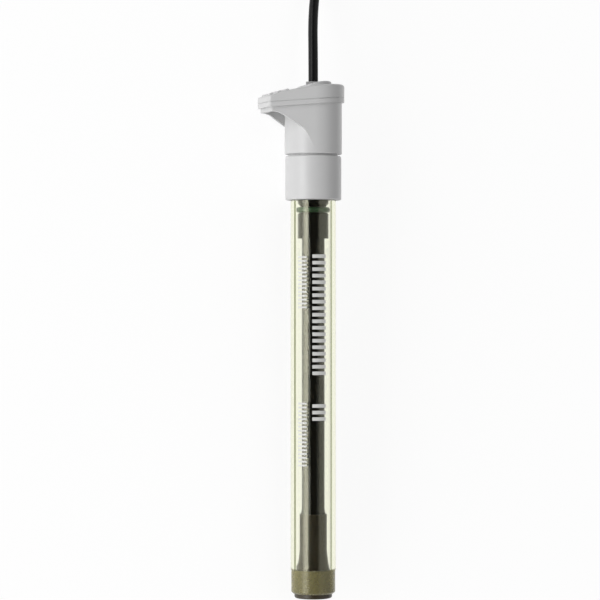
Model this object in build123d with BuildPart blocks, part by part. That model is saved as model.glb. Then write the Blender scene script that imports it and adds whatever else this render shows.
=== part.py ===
"""Combination ion-selective electrode lying on its side, with its cable and bayonet plug. Millimetres."""
import os
from math import atan, cos, degrees, pi, radians, sin, sqrt, tan

from build123d import *

os.makedirs("parts", exist_ok=True)

# Driving sizes. Heights along the electrode run from the sensing face, at 0, towards the cap.
tube_r = 6.5
tube_wall = 1.65
tube_foot = 1.35
zone_step = 0.2
zone_top = 8.2
clear_long = 105.5
foot_chamfer = 0.5
relief_long = 3.3
guide_long = 7.3
filler_r = 1.5
filler_under = 3.9

# Clearances between pieces, and how far a cutting shape runs past what it cuts.
seat_gap = 0.05
ring_gap = 0.03
slide_gap = 0.12
fit_gap = 0.02
run_gap = 0.05
foot_gap = 0.2
travel = 3.0
past = 1.0

# Sensing tip.
tip_step = 1.1
seat_narrow = 0.1
seat_top = 8.0
neck_top = 13.8
neck_over = 0.63
neck_hollow = 0.12
cone_top = 24.1
tip_round = 0.6
pocket_wall = 1.9
pocket_depth = 2.9
membrane_face = 0.2
membrane_thick = 1.9
contact_thick = 0.5
contact_room = 0.2
lead_r = 0.6
lead_bore_r = 1.6
socket_share = 0.6
socket_depth = 6.0

# Inner rod and its piston.
fill_space = 1.58
flare_over = 0.33
flare_top = 26.0
flare_hollow = 0.08
piston_room = 0.47
piston_long = 7.3
piston_under = 3.7
piston_round = 0.5
ring_section_r = 0.775
ring_groove = 1.8
land_chamfer = 0.9
land_narrow = 0.78
land_over = 2.0
shoulder_step = 0.48
thread_step = 0.9
thread_over = 0.4
reference_at = 60.0
reference_r = 1.0
reference_deep = 0.87
reference_out = 0.53

# Spring and its washer.
washer_room = 0.1
washer_lip = 0.25
washer_thick = 0.8
spring_room = 1.1
wire_r = 0.4
spring_coils = 4.5
closed_coils = 1.0
points_per_coil = 12

# Collar.
collar_wall = 1.55
collar_long = 12.6
collar_round = 0.5
stop_step = 0.5
spigot_over = 0.5
spigot_long = 4.0

# Cap housing.
housing_over = 0.15
seam = 0.5
barrel_long = 11.0
housing_round = 0.3
thumb_out = 6.3
cavity_room = 0.05
web_thick = 2.0
gusset = 1.0
side_taper = 13.5
corner_r = 1.2
arch_under = 1.2
wall_long = 10.0
arch_bend_in = 2.3
arch_knee_in = 9.6
arch_foot_in = 12.2
arch_drop = 4.65
arch_round = 5.0

# Top cover. Its lower edge slopes down towards the thumb end.
cover_over = 0.7
edge_over = 1.2
edge_slope = 4.4
roof_over = 1.8
roof_thick = 1.4
cover_mid_out = 5.0
back_rise = 1.1
front_drop = 2.6
cover_round = 0.7
groove_up = 1.25
groove_wide = 0.25
groove_deep = 0.2
rib_shares = (0.94, 0.835, 0.735)
rib_r = 0.45
rib_half = 4.0
boss_in = 3.7
boss_rise = 1.0
boss_mid_drop = 0.3
boss_front_drop = 2.2
boss_slope = 0.5
boss_round = 0.5
lip_room = 0.1
lip_thick = 0.95
lip_over = 0.2
nut_wall = 1.0
nut_high = 2.6

# Cable, grommet and hank.
cable_r = 1.4
free_run = 6.6
cable_length = 1218.0
grommet_r = 2.1
grommet_out = 0.25
grommet_flange_r = 2.9
grommet_flange = 0.5
hank_room = 53.9
hank_straight = 42.0
hank_ear = 9.0
ear_root = 2.0
inner_loop_r = 8.4
outer_loop_r = 11.4
outer_waist = 4.4
hank_levels = 4
hole_waist = 0.15
tie_thick = 0.9
tie_wide = 7.0
tie_gap = 0.05

# Bayonet plug, along its own axis from the back of its boot.
plug_room = 46.1
plug_y = -4.6
plug_tilt = 5.0
ring_lift = 0.1
boot_long = 10.0
boot_back_r = 2.0
boot_front_r = 3.1
boot_cup_r = 3.7
boot_cup = 3.0
boot_step = 0.5
ferrule_r = 3.2
spigot_wall_r = 2.4
body_back = 7.0
bend_back = 5.3
body_front = 23.1
body_lip_r = 4.75
flange_foot = 18.0
flange_top = 19.8
flange_r = 5.5
neck_ring_r = 4.3
ring_foot = 20.0
ring_top = 34.0
ring_r = 7.25
ring_bore_r = 4.95
ring_web = 2.0
ring_round = 0.4
knurl_count = 24
knurl_r = 0.35
knurl_foot = 21.0
knurl_top = 27.0
slot_half = 1.15
channel_r = 6.2
slot_turn = 65.0
slot_steps = 10
slot_deep_at = 28.6
slot_mouth_at = 31.2
sleeve_r = 4.05
sleeve_wall = 0.5
sleeve_top = 31.5
sleeve_slits = 4
slit_half = 0.2
slit_deep = 5.0
insulator_r = 2.4
insulator_foot = 19.0
insulator_top = 27.0
pin_r = 0.68
pin_space = 0.75
pin_point = 1.5
pin_top = 31.8
gasket_high = 0.8

# Radii and reaches worked out from the tube's.
tube_bore_r = tube_r - tube_wall
zone_r = tube_r - zone_step
relief_r = tube_r - zone_step
tip_r = tube_r - tip_step
seat_top_r = tube_bore_r - seat_narrow
pocket_r = tip_r - pocket_wall
contact_r = pocket_r - contact_room
rod_r = tube_bore_r - fill_space
socket_r = lead_bore_r + socket_share * (rod_r - lead_bore_r)
neck_r = rod_r + neck_over
flare_r = rod_r + flare_over
piston_r = tube_bore_r - piston_room
land_chamfer_r = piston_r - land_narrow
shoulder_r = piston_r - shoulder_step
thread_r = shoulder_r - thread_step
reference_in_r = rod_r - reference_deep
reference_out_r = rod_r + reference_out
washer_in_r = tube_bore_r - washer_lip
washer_out_r = tube_r - washer_room
spring_mean_r = washer_out_r - spring_room
collar_r = tube_r + collar_wall
stop_r = tube_r - stop_step
spigot_r = tube_r + spigot_over
housing_r = collar_r + housing_over
cavity_r = spigot_r + cavity_room
housing_reach = housing_r + thumb_out
cover_r = housing_r + cover_over
cover_reach = housing_reach + cover_over
arch_bend = housing_reach - arch_bend_in
arch_knee = housing_reach - arch_knee_in
arch_foot = housing_reach - arch_foot_in
boss_r = cover_r - boss_in
lip_r = cavity_r - lip_room
nut_flat = 2 * (thread_r + nut_wall)

# Heights worked out from the sizes, from the collar up to the boss.
collar_foot = zone_top + clear_long + foot_gap
collar_top = collar_foot + collar_long
tube_top = collar_foot + guide_long
piston_top = collar_foot - piston_under
piston_foot = piston_top - piston_long
land_foot = piston_top + ring_groove
filler_at = piston_foot - filler_under
housing_foot = collar_top + seam
spigot_top = housing_foot + spigot_long
land_top = housing_foot + land_over
web_foot = housing_foot + barrel_long
web_top = web_foot + web_thick
rod_end = web_top + nut_high + thread_over
cover_edge = web_top + edge_over
arch_top = web_top - arch_under
roof_foot = web_top + nut_high + roof_over
lip_foot = web_top + lip_over
cover_mid = roof_foot + roof_thick
cover_back = cover_mid + back_rise
cover_front = cover_mid - front_drop
boss_top = cover_back + boss_rise
boss_mid = boss_top - boss_mid_drop
boss_front = boss_top - boss_front_drop

# The electrode lies on the lower edge of its cover and on the edge of the tube's clear part.
lean = degrees(atan((cover_r - tube_r) / (cover_edge - zone_top)))
tip_height = tube_r * cos(radians(lean)) - zone_top * sin(radians(lean))
end_room = 0.3
half_length = (boss_top + end_room) / 2
axis_side = 3.5

shaft = Plane(
    origin=(-half_length, -axis_side, tip_height),
    x_dir=(0, 1, 0),
    z_dir=(cos(radians(lean)), 0, sin(radians(lean))),
)
shaft_axis = Axis(shaft.origin, shaft.z_dir)
half_plane = Plane(origin=shaft.origin, x_dir=shaft.x_dir, z_dir=-shaft.y_dir)


def spun(plane, angle):
    """The same plane turned about its own normal."""
    return Plane(
        origin=plane.origin,
        x_dir=plane.x_dir.rotate(Axis((0, 0, 0), plane.z_dir), angle),
        z_dir=plane.z_dir,
    )


lever = spun(shaft, -side_taper)
lever_side = Plane(origin=shaft.origin, x_dir=lever.x_dir, z_dir=-lever.y_dir)
# The photograph is taken from the side that this turn faces, so its opposite is the back.
view_turn = 72.0
back = spun(lever, view_turn + 180)


def keep(piece, name):
    """Writes one piece to its own file under its own name."""
    piece.part.label = name
    export_step(piece.part, f"parts/{name}.step")


def turned(points):
    """A round piece on the electrode's axis, from half its outline as (radius, height) points."""
    with BuildPart() as piece:
        with BuildSketch(half_plane):
            with BuildLine():
                Polyline(*points, close=True)
            make_face()
        revolve(axis=shaft_axis)
    return piece


def cap_plan(radius, reach, height):
    """The cap seen from its end: a circle whose two flat sides draw in towards the thumb end."""
    turn = radians(side_taper)
    touch = (radius * sin(turn), radius * cos(turn))
    end = (reach, radius / cos(turn) - reach * tan(turn))
    with BuildSketch(lever.offset(height)) as plan:
        Circle(radius)
        with BuildLine():
            Polyline(touch, end, (end[0], -end[1]), (touch[0], -touch[1]), close=True)
        make_face()
        fillet(plan.vertices().group_by(Axis.X)[-1], corner_r)
    return plan.sketch


def edge_height(out):
    """Height of the cover's lower edge at a distance out towards the thumb end."""
    return cover_edge - out * tan(radians(edge_slope))


# Outer tube, clear to the dense ring at its foot, with a cone seat, a filling hole and a relief.
relief_foot = zone_top + clear_long
seat_slope = (tip_r - seat_top_r) / (seat_top - tube_foot)
seat_end = tube_foot + (tip_r + seat_gap - tube_bore_r) / seat_slope
with BuildPart() as outer_tube:
    with BuildSketch(half_plane):
        with BuildLine():
            Polyline(
                (tip_r + seat_gap, tube_foot),
                (zone_r - foot_chamfer, tube_foot),
                (zone_r, tube_foot + foot_chamfer),
                (zone_r, zone_top),
                (tube_r, zone_top),
                (tube_r, relief_foot),
                (relief_r, relief_foot),
                (relief_r, relief_foot + relief_long),
                (tube_r, relief_foot + relief_long),
                (tube_r, tube_top),
                (tube_bore_r, tube_top),
                (tube_bore_r, seat_end),
                close=True,
            )
        make_face()
    revolve(axis=shaft_axis)
    with BuildSketch(Plane(back.origin + filler_at * back.z_dir, x_dir=back.z_dir, z_dir=back.x_dir)):
        Circle(filler_r)
    extrude(amount=tube_r + past, mode=Mode.SUBTRACT)
keep(outer_tube, "outer_tube")

# Sensing tip: cone, membrane, contact and the lead that runs up the rod.
socket_foot = cone_top - socket_depth
with BuildPart() as tip_cone:
    with BuildSketch(half_plane):
        with BuildLine():
            Line((pocket_r, 0), (tip_r - tip_round, 0))
            ThreePointArc(
                (tip_r - tip_round, 0),
                (tip_r - tip_round * (1 - sqrt(0.5)), tip_round * (1 - sqrt(0.5))),
                (tip_r, tip_round),
            )
            Polyline((tip_r, tip_round), (tip_r, tube_foot), (seat_top_r, seat_top))
            ThreePointArc(
                (seat_top_r, seat_top),
                ((seat_top_r + neck_r) / 2 - neck_hollow, (seat_top + neck_top) / 2),
                (neck_r, neck_top),
            )
            Polyline(
                (neck_r, neck_top),
                (neck_r, cone_top),
                (socket_r + fit_gap, cone_top),
                (socket_r + fit_gap, socket_foot),
                (lead_bore_r, socket_foot),
                (lead_bore_r, pocket_depth),
                (pocket_r, pocket_depth),
                (pocket_r, 0),
            )
        make_face()
    revolve(axis=shaft_axis)
keep(tip_cone, "tip_cone")

membrane_top = membrane_face + membrane_thick
with BuildPart() as sensing_membrane:
    with BuildSketch(shaft.offset(membrane_face)):
        Circle(pocket_r - fit_gap)
    extrude(amount=membrane_thick)
keep(sensing_membrane, "sensing_membrane")

contact_top = membrane_top + contact_thick
with BuildPart() as membrane_contact:
    with BuildSketch(shaft.offset(membrane_top)):
        Circle(contact_r)
    extrude(amount=contact_thick)
keep(membrane_contact, "membrane_contact")

with BuildPart() as signal_lead:
    with BuildSketch(shaft.offset(contact_top)):
        Circle(lead_r)
    extrude(amount=rod_end - contact_top)
keep(signal_lead, "signal_lead")

# Inner rod: spigot in the cone, stem, piston, groove for the sealing ring, land and threaded end.
groove_r = tube_bore_r - ring_gap - 2 * ring_section_r - fit_gap
with BuildPart() as inner_rod:
    with BuildSketch(half_plane):
        with BuildLine():
            Polyline(
                (lead_bore_r, socket_foot),
                (socket_r, socket_foot),
                (socket_r, cone_top),
                (flare_r, cone_top),
            )
            ThreePointArc(
                (flare_r, cone_top),
                (rod_r + flare_hollow, (cone_top + flare_top) / 2),
                (rod_r, flare_top),
            )
            Polyline(
                (rod_r, flare_top),
                (rod_r, piston_foot),
                (piston_r, piston_foot),
                (piston_r, piston_top - piston_round),
            )
            ThreePointArc(
                (piston_r, piston_top - piston_round),
                (piston_r - piston_round * (1 - sqrt(0.5)), piston_top - piston_round * (1 - sqrt(0.5))),
                (piston_r - piston_round, piston_top),
            )
            Polyline(
                (piston_r - piston_round, piston_top),
                (groove_r, piston_top),
                (groove_r, land_foot),
                (land_chamfer_r, land_foot),
                (piston_r, land_foot + land_chamfer),
                (piston_r, land_top),
                (shoulder_r, land_top),
                (shoulder_r, web_foot),
                (thread_r, web_foot),
                (thread_r, rod_end),
                (lead_bore_r, rod_end),
                (lead_bore_r, socket_foot),
            )
        make_face()
    revolve(axis=shaft_axis)
    reference_face = Plane(back.origin + reference_at * back.z_dir, x_dir=back.z_dir, z_dir=back.x_dir)
    with BuildSketch(reference_face.offset(reference_in_r)):
        Circle(reference_r)
    extrude(amount=rod_r, mode=Mode.SUBTRACT)
keep(inner_rod, "inner_rod")

with BuildPart() as reference_element:
    with BuildSketch(reference_face.offset(reference_in_r)):
        Circle(reference_r - fit_gap)
    extrude(amount=reference_out_r - reference_in_r)
keep(reference_element, "reference_element")

with BuildPart() as o_ring:
    with BuildSketch(half_plane):
        with Locations((tube_bore_r - ring_gap - ring_section_r, (piston_top + land_foot) / 2)):
            Circle(ring_section_r)
    revolve(axis=shaft_axis)
keep(o_ring, "o_ring")

# Washer on the tube's end, and the spring that presses the tube onto the cone.
washer_top = tube_top + washer_thick
spring_washer = turned(
    [
        (washer_in_r, tube_top),
        (washer_out_r, tube_top),
        (washer_out_r, washer_top),
        (washer_in_r, washer_top),
    ]
)
keep(spring_washer, "spring_washer")

spring_foot = washer_top + wire_r + fit_gap
spring_rise = web_foot - wire_r - fit_gap - spring_foot
closed_pitch = 2 * wire_r + fit_gap
open_rise = spring_rise - 2 * closed_coils * closed_pitch


def spring_height(turns):
    """Height of the wire after a number of turns: close at both ends, open between them."""
    if turns < closed_coils:
        return turns * closed_pitch
    if turns > closed_coils + spring_coils:
        return spring_rise - (spring_coils + 2 * closed_coils - turns) * closed_pitch
    share = (turns - closed_coils) / spring_coils
    eased = share - sin(2 * pi * share) / (2 * pi) * closed_pitch * 2 / open_rise
    return closed_coils * closed_pitch + eased * open_rise


wire_steps = round((spring_coils + 2 * closed_coils) * points_per_coil)
wire_points = [
    shaft.from_local_coords(
        (
            spring_mean_r * cos(2 * pi * step / points_per_coil),
            spring_mean_r * sin(2 * pi * step / points_per_coil),
            spring_foot + spring_height(step / points_per_coil),
        )
    )
    for step in range(wire_steps + 1)
]
with BuildPart() as return_spring:
    with BuildLine() as wire_line:
        Spline(*wire_points)
    with BuildSketch(Plane(wire_line.line @ 0, z_dir=wire_line.line % 0)):
        Circle(wire_r)
    sweep()
keep(return_spring, "return_spring")

# Collar: the tube slides in its bore up to the stop, and its spigot screws into the cap.
stop_at = washer_top + travel + run_gap
with BuildPart() as collar:
    with BuildSketch(half_plane):
        with BuildLine():
            Polyline(
                (tube_r + slide_gap, collar_foot),
                (collar_r, collar_foot),
                (collar_r, collar_top),
                (spigot_r, collar_top),
                (spigot_r, spigot_top),
                (stop_r, spigot_top),
                (stop_r, stop_at),
                (tube_r + slide_gap, stop_at),
                close=True,
            )
        make_face()
    revolve(axis=shaft_axis)
    round_edges = collar.edges().filter_by(GeomType.CIRCLE)
    fillet(round_edges.filter_by(lambda e: abs(e.radius - collar_r) < 0.01), collar_round)
keep(collar, "collar")

# Cap housing: two thin side walls that carry the thumb end, on a barrel with a web across it.
wall_start = arch_top - wall_long
space_top = cover_back - wall_start
with BuildPart() as cap_housing:
    extrude(cap_plan(housing_r, housing_reach, wall_start), amount=space_top)
    with BuildSketch(lever_side):
        with BuildLine():
            FilletPolyline(
                (housing_reach + past, arch_top),
                (arch_bend, arch_top),
                (arch_knee, arch_top - arch_drop),
                (arch_foot, wall_start),
                radius=(arch_round, arch_round),
            )
            Polyline(
                (arch_foot, wall_start),
                (arch_foot, wall_start - past),
                (housing_reach + past, wall_start - past),
                (housing_reach + past, arch_top),
            )
        make_face()
    extrude(amount=housing_r + past, both=True, mode=Mode.SUBTRACT)
    inner_end = housing_reach - gusset
    inner_half = (housing_r - gusset) / cos(radians(side_taper))
    inner_end_half = inner_half - inner_end * tan(radians(side_taper))
    with BuildSketch(lever.offset(wall_start)):
        with BuildLine():
            Polyline(
                (0, inner_half),
                (inner_end, inner_end_half),
                (inner_end, -inner_end_half),
                (0, -inner_half),
                close=True,
            )
        make_face()
    extrude(amount=space_top, mode=Mode.SUBTRACT)
    with BuildSketch(shaft.offset(housing_foot)):
        Circle(housing_r)
    extrude(amount=cover_back - housing_foot)
    with BuildSketch(shaft.offset(housing_foot)):
        Circle(cavity_r)
    extrude(amount=web_foot - housing_foot, mode=Mode.SUBTRACT)
    with BuildSketch(shaft.offset(web_foot)):
        Circle(thread_r + fit_gap)
    extrude(amount=web_top - web_foot, mode=Mode.SUBTRACT)
    with BuildSketch(shaft.offset(web_top)):
        Circle(cavity_r)
    extrude(amount=cover_back - web_top, mode=Mode.SUBTRACT)
    with BuildSketch(lever_side):
        with BuildLine():
            Polyline(
                (-cover_r - past, edge_height(-cover_r - past)),
                (cover_reach + past, edge_height(cover_reach + past)),
                (cover_reach + past, cover_back + past),
                (-cover_r - past, cover_back + past),
                close=True,
            )
        make_face()
    extrude(amount=cover_r + past, both=True, mode=Mode.SUBTRACT)
    round_edges = cap_housing.edges().filter_by(GeomType.CIRCLE)
    fillet(
        round_edges.filter_by(lambda e: abs(e.radius - housing_r) < 0.01).sort_by(shaft_axis)[0],
        housing_round,
    )
keep(cap_housing, "cap_housing")

# Top cover: sloping lower edge, arched top, groove, thumb ribs and the boss that the cable leaves.
with BuildLine(lever_side, mode=Mode.PRIVATE) as cover_top:
    ThreePointArc((-cover_r, cover_back), (cover_mid_out, cover_mid), (cover_reach, cover_front))

with BuildPart() as groove:
    extrude(cap_plan(cover_r + past, cover_reach + past, web_top), amount=cover_back - web_top)
    extrude(
        cap_plan(cover_r - groove_deep, cover_reach - groove_deep, web_top),
        amount=cover_back - web_top,
        mode=Mode.SUBTRACT,
    )
    with BuildSketch(lever_side):
        with BuildLine():
            Polyline(
                (-cover_r - 2 * past, edge_height(-cover_r - 2 * past) + groove_up),
                (cover_reach + 2 * past, edge_height(cover_reach + 2 * past) + groove_up),
                (cover_reach + 2 * past, edge_height(cover_reach + 2 * past) + groove_up + groove_wide),
                (-cover_r - 2 * past, edge_height(-cover_r - 2 * past) + groove_up + groove_wide),
                close=True,
            )
        make_face()
    extrude(amount=cover_r + 2 * past, both=True, mode=Mode.INTERSECT)

with BuildPart() as boss:
    with BuildSketch(shaft.offset(roof_foot)):
        Circle(boss_r)
    extrude(amount=boss_top + past - roof_foot)
    with BuildSketch(lever_side):
        with BuildLine():
            ThreePointArc((-boss_r, boss_top), (0, boss_mid), (boss_r, boss_front))
            Polyline(
                (boss_r, boss_front),
                (boss_r + past, boss_front - boss_slope),
                (boss_r + past, boss_top + past),
                (-boss_r - past, boss_top + past),
                (-boss_r - past, boss_top),
                (-boss_r, boss_top),
            )
        make_face()
    extrude(amount=boss_r + past, both=True, mode=Mode.SUBTRACT)
    fillet(boss.faces().sort_by(shaft_axis)[-1].edges(), boss_round)

with BuildPart() as top_cover:
    extrude(cap_plan(cover_r, cover_reach, web_top - past), amount=cover_back - web_top + 2 * past)
    with BuildSketch(lever_side):
        with BuildLine():
            ThreePointArc((-cover_r, cover_back), (cover_mid_out, cover_mid), (cover_reach, cover_front))
            Polyline(
                (cover_reach, cover_front),
                (cover_reach + past, cover_front),
                (cover_reach + past, edge_height(cover_reach + past)),
                (-cover_r - past, edge_height(-cover_r - past)),
                (-cover_r - past, cover_back),
                (-cover_r, cover_back),
            )
        make_face()
    extrude(amount=cover_r + past, both=True, mode=Mode.INTERSECT)
    fillet(top_cover.faces().sort_by(shaft_axis)[-1].edges(), cover_round)
    for share in rib_shares:
        with BuildSketch(lever_side):
            with Locations(lever_side.to_local_coords(cover_top.line @ share)):
                Circle(rib_r)
        extrude(amount=rib_half, both=True)
    add(boss.part)
    add(groove.part, mode=Mode.SUBTRACT)
    with BuildSketch(shaft.offset(lip_foot)):
        Circle(lip_r)
    extrude(amount=cover_edge + past - lip_foot)
    with BuildSketch(shaft.offset(lip_foot)):
        Circle(lip_r - lip_thick)
    extrude(amount=roof_foot - lip_foot, mode=Mode.SUBTRACT)
    with BuildSketch(shaft.offset(roof_foot)):
        Circle(grommet_r + fit_gap)
    extrude(amount=boss_top + past - roof_foot, mode=Mode.SUBTRACT)
keep(top_cover, "top_cover")

with BuildPart() as stem_nut:
    with BuildSketch(shaft.offset(web_top)):
        RegularPolygon(nut_flat / 2, 6, major_radius=False)
        Circle(thread_r + fit_gap, mode=Mode.SUBTRACT)
    extrude(amount=nut_high)
keep(stem_nut, "stem_nut")

grommet_top = boss_mid + grommet_out
cable_grommet = turned(
    [
        (cable_r + fit_gap, roof_foot - grommet_flange),
        (grommet_flange_r, roof_foot - grommet_flange),
        (grommet_flange_r, roof_foot),
        (grommet_r, roof_foot),
        (grommet_r, grommet_top),
        (cable_r + fit_gap, grommet_top),
    ]
)
keep(cable_grommet, "cable_grommet")


def tube_along(points, name):
    """A cable tube along straight runs, with at each corner the largest arc that its runs allow."""
    route = [Vector(*point) for point in points]
    runs = [after - before for before, after in zip(route, route[1:])]
    radii = [
        0.45 * min(one.length, two.length) / tan(radians(one.get_angle(two) / 2))
        for one, two in zip(runs, runs[1:])
    ]
    print(name, "radii", [round(r, 1) for r in radii])
    with BuildPart() as tube:
        with BuildLine() as line:
            FilletPolyline(*route, radius=radii)
        with BuildSketch(Plane(line.line @ 0, z_dir=line.line % 0)):
            Circle(cable_r)
        sweep()
    length = sum(edge.length for edge in line.edges())
    volume_ratio = tube.part.volume / (length * pi * cable_r**2)
    print(name, "length", round(length, 1), "volume ratio", round(volume_ratio, 4))
    keep(tube, name)
    return length


# Lead: straight out of the cap, down to the floor and into the hank's outer lane.
floor_z = cable_r
lane_y = -outer_loop_r
hank_start = half_length + hank_room
hank_end = hank_start + hank_straight
ear_foot = hank_start - hank_ear
cap_run = [tuple(shaft.from_local_coords((0, 0, at))) for at in (rod_end, boss_top + free_run)]
lead_route = [
    *cap_run,
    (half_length + 17.9, -5.2, 6.3),
    (half_length + 27.9, -8.4, 2.9),
    (half_length + 38.9, lane_y, floor_z),
    (ear_foot, lane_y, floor_z),
]
print("lead starts", [tuple(round(c, 3) for c in point) for point in cap_run])
lead_length = tube_along(lead_route, "cable_lead")

# Hank: the outer shape of two lanes of strands, pinched at the waist by its tie.
hank_mid = hank_start + hank_straight / 2
hank_high = 2 * cable_r * hank_levels
pinch_half = tie_wide / 2
half_straight = hank_straight / 2


def lane(out, waist, loop):
    """Half width of a lane at a distance from the waist: even at the tie, then easing to the loop."""
    share = max(0.0, (out - pinch_half) / (half_straight - pinch_half))
    return waist + (loop - waist) * (1 - cos(pi * share)) / 2


def lane_points(waist, loop):
    """The lane's edge from the tie to its end loop."""
    outs = [pinch_half + (half_straight - pinch_half) * step / 4 for step in range(5)]
    return [(out, lane(out, waist, loop)) for out in outs]


hank_frame = Plane((hank_mid, 0, 0))
outside = lane_points(outer_waist + cable_r, outer_loop_r + cable_r)
inside = lane_points(hole_waist, inner_loop_r - cable_r)
with BuildPart() as cable_hank:
    for facing in (0, 180):
        with BuildSketch(spun(hank_frame, facing)):
            with BuildLine():
                Line((0, outside[0][1]), outside[0])
                Spline(*outside, tangents=((1, 0), (1, 0)))
                ThreePointArc(
                    outside[-1],
                    (outside[-1][0] + outside[-1][1], 0),
                    (outside[-1][0], -outside[-1][1]),
                )
                Spline(*[(x, -y) for x, y in reversed(outside)], tangents=((-1, 0), (-1, 0)))
                Polyline((outside[0][0], -outside[0][1]), (0, -outside[0][1]), (0, outside[0][1]))
            make_face()
        extrude(amount=hank_high)
        with BuildSketch(spun(hank_frame, facing)):
            with BuildLine():
                Spline(*inside, tangents=((1, 0), (1, 0)))
                ThreePointArc(
                    inside[-1],
                    (inside[-1][0] + inside[-1][1], 0),
                    (inside[-1][0], -inside[-1][1]),
                )
                Spline(*[(x, -y) for x, y in reversed(inside)], tangents=((-1, 0), (-1, 0)))
                Line((inside[0][0], -inside[0][1]), inside[0])
            make_face()
        extrude(amount=hank_high, mode=Mode.SUBTRACT)
    with BuildSketch(Plane((hank_mid - pinch_half, 0, 0), x_dir=(0, 1, 0), z_dir=(1, 0, 0))):
        Rectangle(2 * (outer_waist + cable_r), tie_thick, align=(Align.CENTER, Align.MIN))
    extrude(amount=tie_wide, mode=Mode.SUBTRACT)
    for ear_x, level in ((ear_foot, 0), (hank_end - ear_root, hank_levels - 1)):
        ear_z = floor_z + 2 * cable_r * level
        with BuildSketch(Plane((ear_x, lane_y, ear_z), x_dir=(0, 1, 0), z_dir=(1, 0, 0))):
            Circle(cable_r - run_gap)
        extrude(amount=hank_ear + ear_root)
keep(cable_hank, "cable_hank")

tie_half = outer_waist + cable_r + tie_gap
with BuildPart() as hank_tie:
    with BuildSketch(Plane((hank_mid - pinch_half, 0, 0), x_dir=(0, 1, 0), z_dir=(1, 0, 0))):
        with Locations((0, (hank_high + tie_gap + tie_thick) / 2)):
            RectangleRounded(2 * (tie_half + tie_thick), hank_high + tie_gap + tie_thick, tie_thick)
        with Locations((0, tie_thick)):
            Rectangle(
                2 * tie_half,
                hank_high + tie_gap - tie_thick,
                align=(Align.CENTER, Align.MIN),
                mode=Mode.SUBTRACT,
            )
    extrude(amount=tie_wide)
keep(hank_tie, "hank_tie")

# Tail: from the hank's top lane down to the plug, which lies on its ring beyond the hank.
plug_rise = sin(radians(plug_tilt))
plug_height = ring_r * cos(radians(plug_tilt)) + ring_lift - ring_foot * plug_rise
plug = Plane(
    (hank_end + plug_room, plug_y, plug_height),
    x_dir=(0, 1, 0),
    z_dir=(cos(radians(plug_tilt)), 0, plug_rise),
)
plug_axis = Axis(plug.origin, plug.z_dir)
plug_half = Plane(origin=plug.origin, x_dir=plug.x_dir, z_dir=-plug.y_dir)
plug_run = [tuple(plug.from_local_coords((0, 0, at))) for at in (-bend_back, body_back)]
tail_z = floor_z + 2 * cable_r * (hank_levels - 1)
tail_route = [
    (hank_end + hank_ear, lane_y, tail_z),
    (hank_end + 18.0, lane_y, tail_z),
    (hank_end + 29.6, -8.9, 7.9),
    *plug_run,
]
print("tail ends", [tuple(round(c, 3) for c in point) for point in plug_run])
tail_length = tube_along(tail_route, "cable_tail")
print("cable length outside the hank", round(lead_length + tail_length, 1), "of", cable_length)


def plug_turned(points):
    """A round piece on the plug's axis, from half its outline as (radius, distance) points."""
    with BuildPart() as piece:
        with BuildSketch(plug_half):
            with BuildLine():
                Polyline(*points, close=True)
            make_face()
        revolve(axis=plug_axis)
    return piece


plug_boot = plug_turned(
    [
        (cable_r + fit_gap, 0),
        (boot_back_r, 0),
        (boot_front_r, boot_long - boot_cup - 2 * boot_step),
        (boot_cup_r, boot_long - boot_cup - boot_step),
        (boot_cup_r, boot_long),
        (ferrule_r + fit_gap, boot_long),
        (ferrule_r + fit_gap, boot_long - boot_cup),
        (cable_r + fit_gap, boot_long - boot_cup),
    ]
)
keep(plug_boot, "plug_boot")

crimp_ferrule = plug_turned(
    [
        (spigot_wall_r + fit_gap, body_back),
        (ferrule_r, body_back),
        (ferrule_r, flange_foot),
        (spigot_wall_r + fit_gap, flange_foot),
    ]
)
keep(crimp_ferrule, "crimp_ferrule")

plug_body = plug_turned(
    [
        (pin_r + pin_space, body_back),
        (spigot_wall_r, body_back),
        (spigot_wall_r, flange_foot),
        (flange_r, flange_foot),
        (flange_r, flange_top),
        (neck_ring_r, flange_top),
        (neck_ring_r, ring_foot + ring_web + 2 * run_gap),
        (body_lip_r, ring_foot + ring_web + 2 * run_gap),
        (body_lip_r, body_front),
        (insulator_r + fit_gap, body_front),
        (insulator_r + fit_gap, insulator_foot),
        (pin_r + pin_space, insulator_foot),
    ]
)
keep(plug_body, "plug_body")

with BuildPart() as coupling_ring:
    with BuildSketch(plug_half):
        with BuildLine():
            Polyline(
                (neck_ring_r + run_gap, ring_foot),
                (ring_r, ring_foot),
                (ring_r, ring_top),
                (ring_bore_r, ring_top),
                (ring_bore_r, ring_foot + ring_web),
                (neck_ring_r + run_gap, ring_foot + ring_web),
                close=True,
            )
        make_face()
    revolve(axis=plug_axis)
    outer_edges = coupling_ring.edges().filter_by(GeomType.CIRCLE)
    chamfer(outer_edges.filter_by(lambda e: abs(e.radius - ring_r) < 0.01), ring_round)
    with BuildSketch(plug.offset(knurl_foot)):
        with PolarLocations(ring_r, knurl_count):
            Circle(knurl_r)
    extrude(amount=knurl_top - knurl_foot, mode=Mode.SUBTRACT)
    for side in (0, 180):
        for step in range(slot_steps + 1):
            share = step / slot_steps
            spoke = spun(plug, side + slot_turn * share)
            slot_at = slot_mouth_at + (slot_deep_at - slot_mouth_at) * share
            slot_origin = spoke.origin + slot_at * spoke.z_dir
            with BuildSketch(Plane(slot_origin, x_dir=spoke.z_dir, z_dir=spoke.x_dir)):
                Circle(slot_half)
            extrude(amount=ring_r + past, mode=Mode.SUBTRACT)
        mouth = spun(plug, side).offset(slot_mouth_at)
        with BuildSketch(mouth):
            Rectangle(channel_r, 2 * slot_half, align=(Align.MIN, Align.CENTER))
        extrude(amount=ring_top - slot_mouth_at, mode=Mode.SUBTRACT)
keep(coupling_ring, "coupling_ring")

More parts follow.
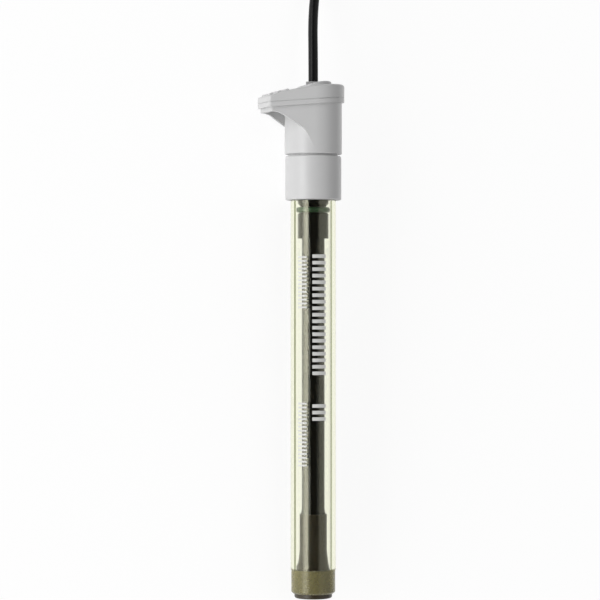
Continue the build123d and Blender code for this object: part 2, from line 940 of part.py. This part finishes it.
sleeve_tube = plug_turned(
    [
        (sleeve_r - sleeve_wall, body_front),
        (sleeve_r, body_front),
        (sleeve_r, sleeve_top),
        (sleeve_r - sleeve_wall, sleeve_top),
    ]
)
with BuildPart() as contact_sleeve:
    add(sleeve_tube.part)
    with BuildSketch(plug.offset(sleeve_top - slit_deep)):
        with PolarLocations(0, sleeve_slits):
            Rectangle(sleeve_r + past, 2 * slit_half, align=(Align.MIN, Align.CENTER))
    extrude(amount=slit_deep, mode=Mode.SUBTRACT)
keep(contact_sleeve, "contact_sleeve")

plug_gasket = plug_turned(
    [
        (sleeve_r + fit_gap, body_front),
        (body_lip_r, body_front),
        (body_lip_r, body_front + gasket_high),
        (sleeve_r + fit_gap, body_front + gasket_high),
    ]
)
keep(plug_gasket, "plug_gasket")

plug_insulator = plug_turned(
    [
        (pin_r + fit_gap, insulator_foot),
        (insulator_r, insulator_foot),
        (insulator_r, insulator_top),
        (pin_r + fit_gap, insulator_top),
    ]
)
keep(plug_insulator, "plug_insulator")

centre_pin = plug_turned(
    [
        (0, body_back),
        (pin_r, body_back),
        (pin_r, pin_top - pin_point),
        (pin_r / 3, pin_top),
        (0, pin_top),
    ]
)
keep(centre_pin, "centre_pin")
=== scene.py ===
"""Looks of a combination ion-selective electrode that lies on its side with its cable wound up. Metres."""
from math import asin, atan, cos, pi, radians, sin

import bmesh
import bpy
from mathutils import Matrix, Vector


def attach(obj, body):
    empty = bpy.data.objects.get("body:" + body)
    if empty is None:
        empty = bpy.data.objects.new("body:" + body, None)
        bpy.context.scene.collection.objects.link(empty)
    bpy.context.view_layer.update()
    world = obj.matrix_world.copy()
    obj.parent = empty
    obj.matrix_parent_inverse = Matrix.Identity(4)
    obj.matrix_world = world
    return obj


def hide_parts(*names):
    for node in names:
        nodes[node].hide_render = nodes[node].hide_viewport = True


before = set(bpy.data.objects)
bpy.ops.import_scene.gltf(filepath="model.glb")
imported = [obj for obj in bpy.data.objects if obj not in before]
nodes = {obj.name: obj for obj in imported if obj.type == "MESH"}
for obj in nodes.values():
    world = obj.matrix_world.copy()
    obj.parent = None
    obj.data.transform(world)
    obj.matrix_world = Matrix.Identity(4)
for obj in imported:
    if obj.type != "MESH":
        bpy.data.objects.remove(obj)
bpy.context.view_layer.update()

mm = 0.001

# The electrode's sizes that its lie follows from, as in part.py. Millimetres.
tube_r = 6.5
cover_r = 8.9
foot_top = 8.2
cover_edge = 141.2
shaft_middle = 74.0

# The electrode's axis: heights along it run from the sensing face towards the cap.
lean = atan((cover_r - tube_r) / (cover_edge - foot_top))
along = Vector((cos(lean), 0.0, sin(lean)))
tip_height = tube_r * cos(lean) - foot_top * sin(lean)
tip_centre = Vector((-74.1, -3.5, tip_height)) * mm


def on_axis(height):
    """The point at a height on the electrode's axis, in metres."""
    return tip_centre + along * height * mm


# Camera: square to the shaft, on the lever's side and above.
camera_distance = 0.731
camera_height = 85.33
camera_aside = 3.8 * mm
view_elevation = radians(58.5)
image_right = Vector((0.0, -sin(view_elevation), cos(view_elevation)))
image_right = (image_right - along * image_right.dot(along)).normalized()
towards_camera = image_right.cross(along)
camera_data = bpy.data.cameras.new("camera")
camera_data.lens = 153.0
camera_data.sensor_width = 36.0
camera_data.clip_start = 0.05
camera = bpy.data.objects.new("camera", camera_data)
bpy.context.scene.collection.objects.link(camera)
camera_axes = Matrix((image_right, along, towards_camera)).transposed().to_4x4()
camera_place = on_axis(camera_height) - image_right * camera_aside + towards_camera * camera_distance
camera.matrix_world = Matrix.Translation(camera_place) @ camera_axes
bpy.context.scene.camera = camera

# Cable: out of the boss, down to the floor, wound into the hank and on to the plug. Millimetres.
cable_r = 1.4
lane_y = -11.4
lead_route = [
    (68.877, -3.5, 8.931),
    (80.375, -3.5, 9.139),
    (92.0, -5.2, 6.3),
    (102.0, -8.4, 2.9),
    (113.0, lane_y, cable_r),
    (119.0, lane_y, cable_r),
]
tail_route = [
    (179.0, lane_y, 9.8),
    (188.0, lane_y, 9.8),
    (199.6, -8.9, 7.9),
    (210.82, -4.6, 5.117),
    (223.073, -4.6, 6.189),
]
hank_start = 128.0
hank_end = 170.0
hank_mid = (hank_start + hank_end) / 2
half_straight = (hank_end - hank_start) / 2
pinch_half = 3.5
INNER, OUTER = 0, 1
loop_radii = (8.4, 11.4)
waist_halves = (1.4, 4.4)
turn_cells = [
    (OUTER, 0),
    (INNER, 0),
    (INNER, 1),
    (OUTER, 1),
    (OUTER, 2),
    (INNER, 2),
    (INNER, 3),
    (OUTER, 3),
]
run_steps = 10
loop_steps = 8
shift_width = 0.36
shift_lead = 0.125


def eased(share):
    """A smooth step from 0 to 1."""
    share = min(1.0, max(0.0, share))
    return share * share * (3 - 2 * share)


def spread(x):
    """How far the lanes have opened at a place on the runs: 0 under the tie, 1 at the loops."""
    out = max(0.0, (abs(x - hank_mid) - pinch_half) / (half_straight - pinch_half))
    return (1 - cos(pi * min(1.0, out))) / 2


def strand(cell, opened):
    """Half width and height of a strand in a cell of the winding."""
    lane, level = cell
    half = waist_halves[lane] + (loop_radii[lane] - waist_halves[lane]) * opened
    low, high = 2.3 + 2.5 * level, 1.4 + 2.8 * level
    return half, low + (high - low) * opened


def shifted(turn, place, opened):
    """Half width and height on turn number turn, where it eases into the next turn's cell."""
    begin = 1 - shift_width - shift_lead * turn
    share = eased((place - begin) / shift_width)
    half, height = strand(turn_cells[turn], opened)
    next_half, next_height = strand(turn_cells[turn + 1], opened)
    return half + (next_half - half) * share, height + (next_height - height) * share


def hank_points():
    """The winding's points: each turn runs out on one side, loops, runs back on the other and loops."""
    points = []
    loop_length = pi * loop_radii[INNER]
    for turn in range(len(turn_cells) - 1):
        for step in range(run_steps):
            x = hank_start + (hank_end - hank_start) * step / run_steps
            half, height = strand(turn_cells[turn], spread(x))
            points.append((x, -half, height))
        for step in range(loop_steps):
            angle = pi * step / loop_steps
            half, height = strand(turn_cells[turn], 1.0)
            points.append((hank_end + half * sin(angle), -half * cos(angle), height))
        for step in range(run_steps):
            x = hank_end - (hank_end - hank_start) * step / run_steps
            half, height = shifted(turn, (hank_start - x) / loop_length, spread(x))
            points.append((x, half, height))
        for step in range(loop_steps):
            angle = pi * step / loop_steps
            half, height = shifted(turn, step / loop_steps, 1.0)
            points.append((hank_start - half * sin(angle), half * cos(angle), height))
    for step in range(run_steps + 1):
        x = hank_start + (hank_end - hank_start) * step / run_steps
        half, height = strand(turn_cells[-1], spread(x))
        points.append((x, -half, height))
    return points


cable_data = bpy.data.curves.new("cable", "CURVE")
cable_data.dimensions = "3D"
cable_data.bevel_depth = 1.0
cable_data.bevel_resolution = 6
cable_data.resolution_u = 8
cable_data.use_fill_caps = True
cable_points = lead_route + hank_points() + tail_route
line = cable_data.splines.new("NURBS")
line.points.add(len(cable_points) - 1)
for point, place in zip(line.points, cable_points):
    point.co = (place[0] * mm, place[1] * mm, place[2] * mm, 1.0)
    point.radius = cable_r * mm
line.order_u = 3
line.use_endpoint_u = True
cable = bpy.data.objects.new("cable", cable_data)
bpy.context.scene.collection.objects.link(cable)
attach(cable, "head")
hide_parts("cable_lead", "cable_hank", "cable_tail")


# Materials
def new_material(name):
    """A material with its tree and its main shader."""
    made = bpy.data.materials.new(name)
    made.use_nodes = True
    return made, made.node_tree, made.node_tree.nodes["Principled BSDF"]


def place_of(tree):
    """Coordinates in the object's own frame, in metres."""
    return tree.nodes.new("ShaderNodeTexCoord").outputs["Object"]


def noise(tree, size, detail=3.0, stretch=(1.0, 1.0, 1.0)):
    """Noise whose features measure about size, in metres."""
    scaled = tree.nodes.new("ShaderNodeMapping")
    scaled.inputs["Scale"].default_value = stretch
    tree.links.new(place_of(tree), scaled.inputs["Vector"])
    made = tree.nodes.new("ShaderNodeTexNoise")
    made.inputs["Scale"].default_value = 1.0 / size
    made.inputs["Detail"].default_value = detail
    tree.links.new(scaled.outputs["Vector"], made.inputs["Vector"])
    return made.outputs["Fac"]


def ranged(tree, value, low, high, start=0.3, end=0.7):
    """A value from start to end mapped to low to high."""
    made = tree.nodes.new("ShaderNodeMapRange")
    made.inputs["From Min"].default_value = start
    made.inputs["From Max"].default_value = end
    made.inputs["To Min"].default_value = low
    made.inputs["To Max"].default_value = high
    tree.links.new(value, made.inputs["Value"])
    return made.outputs["Result"]


def coloured(tree, socket, colour):
    """Gives a socket a colour, or joins it to a node that makes one."""
    if isinstance(colour, tuple):
        socket.default_value = (*colour, 1.0)
    else:
        tree.links.new(colour, socket)


def blended(tree, share, first, second):
    """A colour between two, by a share."""
    made = tree.nodes.new("ShaderNodeMix")
    made.data_type = "RGBA"
    coloured(tree, made.inputs["A"], first)
    coloured(tree, made.inputs["B"], second)
    tree.links.new(share, made.inputs["Factor"])
    return made.outputs["Result"]


def bumped(tree, shader, height, depth):
    """Raises a surface by a height map, depth metres high."""
    made = tree.nodes.new("ShaderNodeBump")
    made.inputs["Strength"].default_value = 1.0
    made.inputs["Distance"].default_value = depth
    tree.links.new(height, made.inputs["Height"])
    tree.links.new(made.outputs["Normal"], shader.inputs["Normal"])


gloss_change = 0.06


def moulded(name, colour, roughness, grain=0.15 * mm, depth=0.004 * mm, tone=0.05, shine=0.5):
    """Moulded plastic or rubber: slightly uneven colour and gloss, and a fine grain."""
    made, tree, shader = new_material(name)
    darker = tuple(c * (1 - tone) for c in colour)
    lighter = tuple(min(1.0, c * (1 + tone)) for c in colour)
    share = ranged(tree, noise(tree, 6 * mm), 0.0, 1.0)
    tree.links.new(blended(tree, share, darker, lighter), shader.inputs["Base Color"])
    gloss = ranged(tree, noise(tree, 1.3 * mm), roughness - gloss_change, roughness + gloss_change)
    tree.links.new(gloss, shader.inputs["Roughness"])
    shader.inputs["Specular IOR Level"].default_value = shine
    bumped(tree, shader, noise(tree, grain, 2.0), depth)
    return made


def polished(name, colour, roughness):
    """Metal with fine marks left by turning or drawing."""
    made, tree, shader = new_material(name)
    shader.inputs["Metallic"].default_value = 1.0
    darker = tuple(c * 0.86 for c in colour)
    share = ranged(tree, noise(tree, 2.5 * mm), 0.0, 1.0)
    tree.links.new(blended(tree, share, darker, colour), shader.inputs["Base Color"])
    marks = noise(tree, 0.5 * mm, 4.0)
    tree.links.new(ranged(tree, marks, roughness * 0.7, roughness * 1.4), shader.inputs["Roughness"])
    bumped(tree, shader, marks, 0.002 * mm)
    return made


def from_tip(tree):
    """The way from the middle of the sensing face, as a node vector."""
    made = tree.nodes.new("ShaderNodeVectorMath")
    made.operation = "SUBTRACT"
    tree.links.new(place_of(tree), made.inputs[0])
    made.inputs[1].default_value = tip_centre
    return made.outputs["Vector"]


def height_on_axis(tree):
    """Height above the sensing face, in metres, as a node value."""
    measured = tree.nodes.new("ShaderNodeVectorMath")
    measured.operation = "DOT_PRODUCT"
    tree.links.new(from_tip(tree), measured.inputs[0])
    measured.inputs[1].default_value = along
    return measured.outputs["Value"]


def out_from_axis(tree):
    """Distance from the axis, in metres, as a node value."""
    crossed = tree.nodes.new("ShaderNodeVectorMath")
    crossed.operation = "CROSS_PRODUCT"
    tree.links.new(from_tip(tree), crossed.inputs[0])
    crossed.inputs[1].default_value = along
    measured = tree.nodes.new("ShaderNodeVectorMath")
    measured.operation = "LENGTH"
    tree.links.new(crossed.outputs["Vector"], measured.inputs[0])
    return measured.outputs["Value"]


def product(tree, first, second):
    """Two node values multiplied."""
    made = tree.nodes.new("ShaderNodeMath")
    made.operation = "MULTIPLY"
    tree.links.new(first, made.inputs[0])
    tree.links.new(second, made.inputs[1])
    return made.outputs["Value"]


def painted_edge_shade(tree):
    """Mask of painted shade: 1 along the two dark lines where the view runs along the bore's edge, on the
    outside only; the dark colour stands in for the darkening that refraction gives there.
    """
    facing = tree.nodes.new("ShaderNodeLayerWeight").outputs["Facing"]
    rising = ranged(tree, facing, 0.0, 1.0, 0.34, 0.38)
    falling = ranged(tree, facing, 1.0, 0.0, 0.41, 0.45)
    outside = ranged(tree, out_from_axis(tree), 0.0, 1.0, (tube_r - 0.1) * mm, (tube_r - 0.05) * mm)
    return product(tree, product(tree, rising, falling), outside)


def tube_material():
    """Clear, pale amber plastic that turns dense and frosted at the foot."""
    made, tree, shader = new_material("amber_tube")
    shader.inputs["IOR"].default_value = 1.6
    shader.inputs["Specular Tint"].default_value = (1.0, 0.98, 0.8, 1.0)
    foot = ranged(tree, height_on_axis(tree), 1.0, 0.0, (foot_top - 0.1) * mm, (foot_top + 0.1) * mm)
    tint = blended(tree, foot, (0.99, 0.99, 0.97), (0.4, 0.36, 0.17))
    # Painted shade: dark olive lines laid into the base colour along the bore's edges, in place of the
    # darkening that refraction gives there.
    tint_with_painted_shade = blended(tree, painted_edge_shade(tree), tint, (0.1, 0.12, 0.04))
    tree.links.new(tint_with_painted_shade, shader.inputs["Base Color"])
    tree.links.new(ranged(tree, foot, 1.0, 0.6, 0.0, 1.0), shader.inputs["Transmission Weight"])
    amber = tree.nodes.new("ShaderNodeVolumeAbsorption")
    amber.inputs["Color"].default_value = (0.86, 0.88, 0.2, 1.0)
    amber.inputs["Density"].default_value = 60.0
    tree.links.new(amber.outputs["Volume"], tree.nodes["Material Output"].inputs["Volume"])
    frost = ranged(tree, noise(tree, 1.5 * mm), 0.24, 0.32)
    clear = ranged(tree, noise(tree, 6.0 * mm, 1.0, (0.15, 1.0, 1.0)), 0.0, 0.02)
    choice = tree.nodes.new("ShaderNodeMix")
    tree.links.new(foot, choice.inputs["Factor"])
    tree.links.new(clear, choice.inputs["A"])
    tree.links.new(frost, choice.inputs["B"])
    tree.links.new(choice.outputs["Result"], shader.inputs["Roughness"])
    bumped(tree, shader, noise(tree, 6.0 * mm, 0.0, (0.2, 1.0, 1.0)), 0.002 * mm)
    return made


def rod_material():
    """Glossy black plastic with faint lengthwise streaks."""
    made, tree, shader = new_material("black_rod")
    share = ranged(tree, noise(tree, 3 * mm), 0.0, 1.0)
    black = blended(tree, share, (0.006, 0.005, 0.003), (0.009, 0.0075, 0.005))
    tree.links.new(black, shader.inputs["Base Color"])
    streaks = noise(tree, 4.0 * mm, 1.0, (0.05, 1.0, 1.0))
    tree.links.new(ranged(tree, streaks, 0.1, 0.16), shader.inputs["Roughness"])
    bumped(tree, shader, streaks, 0.001 * mm)
    return made


def woven_material():
    """Black woven tie with a nap."""
    made, tree, shader = new_material("tie_black")
    weave = tree.nodes.new("ShaderNodeTexWave")
    weave.inputs["Scale"].default_value = 400.0
    weave.inputs["Distortion"].default_value = 1.5
    tree.links.new(place_of(tree), weave.inputs["Vector"])
    share = ranged(tree, weave.outputs["Fac"], 0.0, 1.0, 0.0, 1.0)
    black = blended(tree, share, (0.012, 0.012, 0.014), (0.04, 0.04, 0.043))
    tree.links.new(black, shader.inputs["Base Color"])
    tree.links.new(ranged(tree, noise(tree, 0.4 * mm), 0.75, 0.95), shader.inputs["Roughness"])
    shader.inputs["Sheen Weight"].default_value = 0.3
    bumped(tree, shader, weave.outputs["Fac"], 0.08 * mm)
    return made


cap_grey = moulded("cap_grey", (0.7, 0.7, 0.7), 0.34, depth=0.002 * mm, tone=0.01)
tip_black = moulded("tip_black", (0.045, 0.034, 0.018), 0.4)
cable_black = moulded("cable_black", (0.007, 0.007, 0.0075), 0.34, 0.6 * mm, 0.008 * mm, shine=0.2)
boot_black = moulded("boot_black", (0.018, 0.018, 0.019), 0.5)
grommet_grey = moulded("grommet_grey", (0.3, 0.3, 0.3), 0.5)
membrane = moulded("membrane", (0.16, 0.15, 0.12), 0.35)
green_seal = moulded("green_seal", (0.05, 0.13, 0.06), 0.3)
insulator_white = moulded("insulator_white", (0.75, 0.74, 0.71), 0.35, tone=0.02)
nickel = polished("nickel", (0.66, 0.64, 0.6), 0.22)
steel = polished("steel", (0.55, 0.56, 0.57), 0.25)
silver = polished("silver", (0.8, 0.8, 0.78), 0.3)
copper = polished("copper", (0.72, 0.4, 0.26), 0.3)
pin_gold = polished("pin_gold", (0.85, 0.62, 0.28), 0.18)
amber_tube = tube_material()
black_rod = rod_material()
tie_black = woven_material()

node_materials = {
    "outer_tube": amber_tube,
    "tip_cone": tip_black,
    "sensing_membrane": membrane,
    "membrane_contact": silver,
    "signal_lead": copper,
    "inner_rod": black_rod,
    "reference_element": silver,
    "o_ring": green_seal,
    "spring_washer": steel,
    "return_spring": steel,
    "stem_nut": steel,
    "collar": cap_grey,
    "cap_housing": cap_grey,
    "top_cover": cap_grey,
    "cable_grommet": grommet_grey,
    "hank_tie": tie_black,
    "plug_boot": boot_black,
    "crimp_ferrule": nickel,
    "plug_body": nickel,
    "coupling_ring": nickel,
    "contact_sleeve": nickel,
    "plug_insulator": insulator_white,
    "centre_pin": pin_gold,
    "plug_gasket": boot_black,
}
for name, finish in node_materials.items():
    mesh = nodes[name].data
    mesh.materials.clear()
    mesh.materials.append(finish)
cable_data.materials.append(cable_black)

# Print on the tube: two columns of plain bars where the photograph has its white print. Millimetres.
print_white = moulded("print_white", (0.78, 0.78, 0.76), 0.45, tone=0.03)
print_thick = 0.03
bar_steps = 6
print_columns = [
    {"left": -0.3, "right": 3.5, "bar": 1.0, "pitch": 1.85, "runs": [(64.0, 98.4), (51.0, 57.5)]},
    {"left": -4.3, "right": -1.9, "bar": 0.5, "pitch": 1.1, "runs": [(83.0, 98.4), (38.0, 56.6)]},
]


def bar_feet(column):
    """Heights of the lower edges of a column's bars."""
    bar, pitch = column["bar"], column["pitch"]
    feet = []
    for low, high in column["runs"]:
        count = int((high - low - bar) / pitch) + 1
        feet += [low + index * pitch for index in range(count)]
    return feet


def add_bar(shape, column, foot):
    """One bar, bent round the tube between the column's two edges as the camera sees them."""
    first = asin(column["left"] / tube_r)
    last = asin(column["right"] / tube_r)
    turns = [first + (last - first) * k / bar_steps for k in range(bar_steps + 1)]
    rows = []
    for height in (foot, foot + column["bar"]):
        row = []
        for turn in turns:
            outward = towards_camera * cos(turn) + image_right * sin(turn)
            row.append(shape.verts.new(tip_centre + (along * height + outward * tube_r) * mm))
        rows.append(row)
    low_row, high_row = rows
    for k in range(bar_steps):
        shape.faces.new((low_row[k], low_row[k + 1], high_row[k + 1], high_row[k]))


def tube_print():
    """All bars as one thin piece on the tube."""
    shape = bmesh.new()
    for column in print_columns:
        for foot in bar_feet(column):
            add_bar(shape, column, foot)
    bmesh.ops.recalc_face_normals(shape, faces=shape.faces)
    bmesh.ops.solidify(shape, geom=shape.faces[:], thickness=-print_thick * mm)
    mesh = bpy.data.meshes.new("tube_print")
    shape.to_mesh(mesh)
    shape.free()
    mesh.materials.append(print_white)
    made = bpy.data.objects.new("tube_print", mesh)
    bpy.context.scene.collection.objects.link(made)
    return made


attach(tube_print(), "tube")


# Floor, world and lamps
floor_lit = (0.86, 0.86, 0.86)
floor_seen = (0.17, 0.17, 0.17)
floor_glow = 0.9
sky_dark = 0.03


def floor_material():
    """A pale floor that shows white to the camera, to reflections and through the clear tube."""
    made = bpy.data.materials.new("floor")
    made.use_nodes = True
    tree = made.node_tree
    tree.nodes.clear()
    paths = tree.nodes.new("ShaderNodeLightPath")
    seen = tree.nodes.new("ShaderNodeMath")
    seen.operation = "MAXIMUM"
    tree.links.new(paths.outputs["Is Camera Ray"], seen.inputs[0])
    tree.links.new(paths.outputs["Is Glossy Ray"], seen.inputs[1])
    seen_through = tree.nodes.new("ShaderNodeMath")
    seen_through.operation = "MAXIMUM"
    tree.links.new(seen.outputs["Value"], seen_through.inputs[0])
    tree.links.new(paths.outputs["Is Transmission Ray"], seen_through.inputs[1])
    matt = tree.nodes.new("ShaderNodeBsdfDiffuse")
    paint = blended(tree, seen_through.outputs["Value"], floor_lit, floor_seen)
    tree.links.new(paint, matt.inputs["Color"])
    glow = tree.nodes.new("ShaderNodeEmission")
    glow.inputs["Color"].default_value = (1.0, 1.0, 1.0, 1.0)
    shown = ranged(tree, seen_through.outputs["Value"], 0.0, floor_glow, 0.0, 1.0)
    tree.links.new(shown, glow.inputs["Strength"])
    joined = tree.nodes.new("ShaderNodeAddShader")
    tree.links.new(matt.outputs["BSDF"], joined.inputs[0])
    tree.links.new(glow.outputs["Emission"], joined.inputs[1])
    result = tree.nodes.new("ShaderNodeOutputMaterial")
    tree.links.new(joined.outputs["Shader"], result.inputs["Surface"])
    return made


floor_half = 3.0
floor_drop = 0.1 * mm
floor_mesh = bpy.data.meshes.new("floor")
shape = bmesh.new()
bmesh.ops.create_grid(shape, x_segments=2, y_segments=2, size=floor_half)
shape.to_mesh(floor_mesh)
shape.free()
floor_mesh.materials.append(floor_material())
floor = bpy.data.objects.new("floor", floor_mesh)
bpy.context.scene.collection.objects.link(floor)
floor.location.z = -floor_drop

# World: white to the camera, nearly dark to everything else, so that the black rod stays black.
world = bpy.data.worlds.new("studio")
bpy.context.scene.world = world
world.use_nodes = True
background = world.node_tree.nodes["Background"]
background.inputs["Color"].default_value = (1.0, 1.0, 1.0, 1.0)
sky_paths = world.node_tree.nodes.new("ShaderNodeLightPath")
sky = ranged(world.node_tree, sky_paths.outputs["Is Camera Ray"], sky_dark, 1.0, 0.0, 1.0)
world.node_tree.links.new(sky, background.inputs["Strength"])


def soft_box(name, elevation, distance, width, height, radiance):
    """A soft box in the plane across the electrode, at an elevation counted from the lever's side."""
    data = bpy.data.lights.new(name, "AREA")
    data.shape = "RECTANGLE"
    data.size = width
    data.size_y = height
    data.energy = radiance * pi * width * height
    made = bpy.data.objects.new(name, data)
    bpy.context.scene.collection.objects.link(made)
    direction = Vector((0.0, cos(elevation), sin(elevation)))
    lengthwise = Vector((1.0, 0.0, 0.0))
    axes = Matrix((lengthwise, direction.cross(lengthwise), direction)).transposed().to_4x4()
    made.matrix_world = Matrix.Translation(on_axis(shaft_middle) + direction * distance) @ axes


soft_box("left", radians(15.75), distance=0.9, width=2.4, height=0.44, radiance=3.75)
soft_box("right", radians(135.0), distance=0.7, width=2.4, height=1.4, radiance=0.55)

bpy.context.scene.view_settings.view_transform = "Standard"
